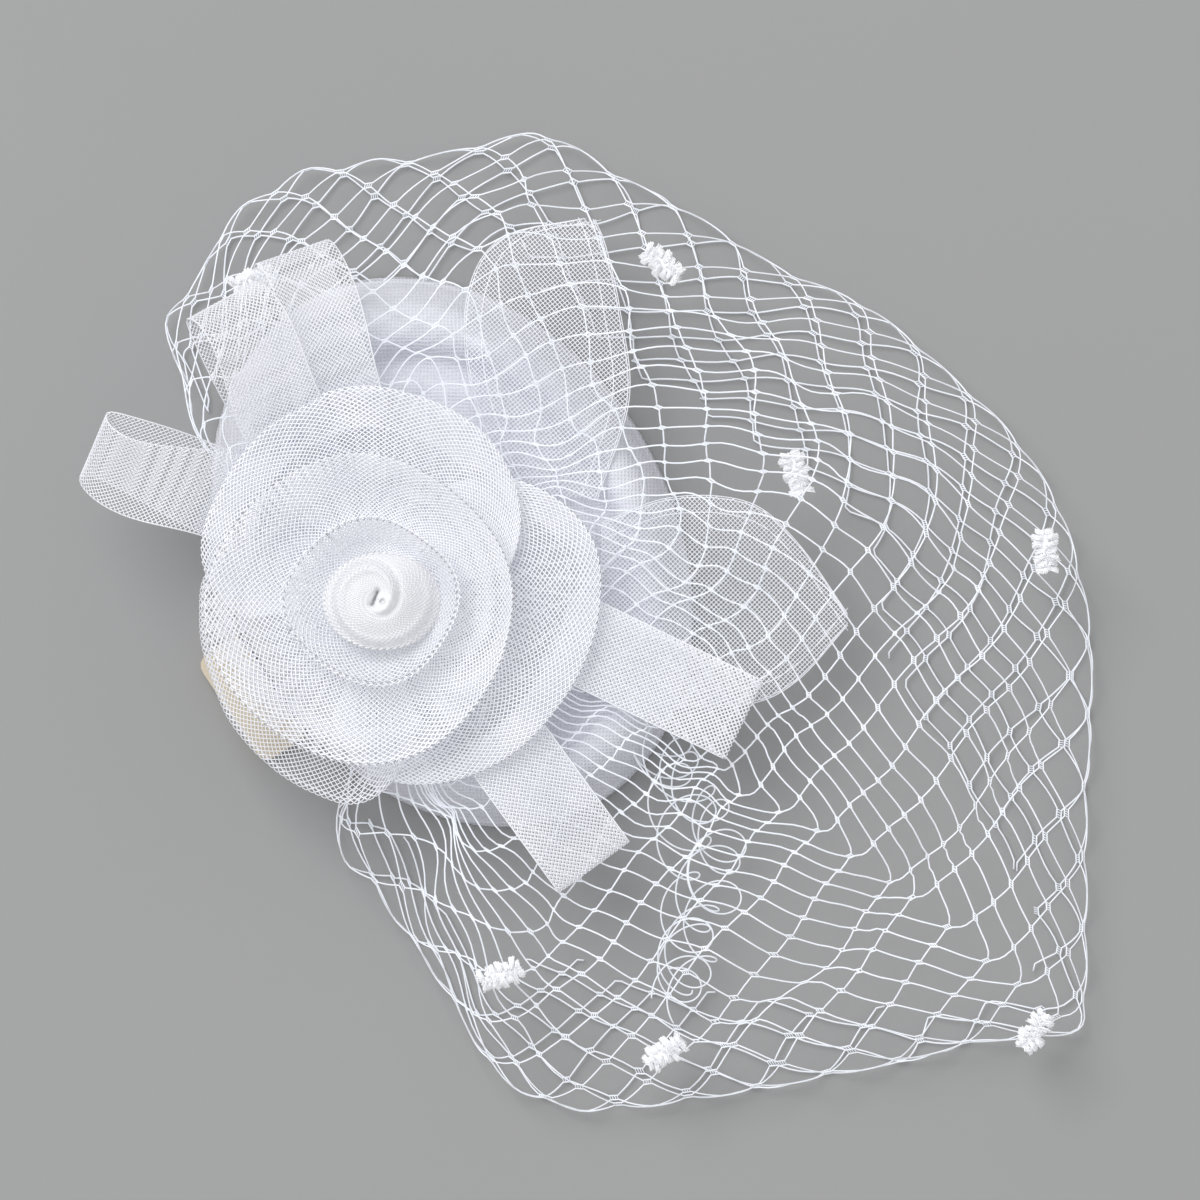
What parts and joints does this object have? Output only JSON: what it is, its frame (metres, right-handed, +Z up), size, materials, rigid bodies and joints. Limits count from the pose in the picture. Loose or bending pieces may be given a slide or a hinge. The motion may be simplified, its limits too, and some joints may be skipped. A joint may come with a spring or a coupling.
{
  "type": "veil fascinator",
  "caption": "Oval covered fascinator base with a wound crin rose, crin loops and leaves, and a puffed diamond-net veil with chenille dots.",
  "frame": {"origin": "middle of the whole object's box, on the table that it lies on", "axes": "+Z up through the top of the rose, +X towards the right-hand fold of the veil, +Y towards the top leaf"},
  "size_m": [0.2544, 0.2438, 0.0551],
  "materials": {
    "base_linen": "white linen-look woven cover, slightly translucent, matt",
    "clip_satin": "beige satin covering, soft sheen",
    "crin": "white braided nylon crin, open weave, glossy threads",
    "veil_net": "white nylon diamond veiling with ladder knots",
    "chenille": "white cut pile, fluffy and matt"
  },
  "bodies": {
    "root": {"base_cap": "base_linen", "hair_clip": "clip_satin", "leaf_top": "crin", "leaf_right": "crin", "veil": "veil_net", "dot_top_left": "chenille", "dot_top": "chenille", "dot_middle": "chenille", "dot_right": "chenille", "dot_corner": "chenille", "dot_front": "chenille", "dot_front_left": "chenille", "loop_left": "crin", "loop_top": "crin", "loop_middle": "crin", "tail_right": "crin", "tail_front": "crin", "rose_root": "crin", "petal_right": "crin", "petal_lower": "crin", "petal_top": "crin", "ring_outer": "crin", "ring_inner": "crin", "rose_bud": "crin"}
  },
  "joints": []
}
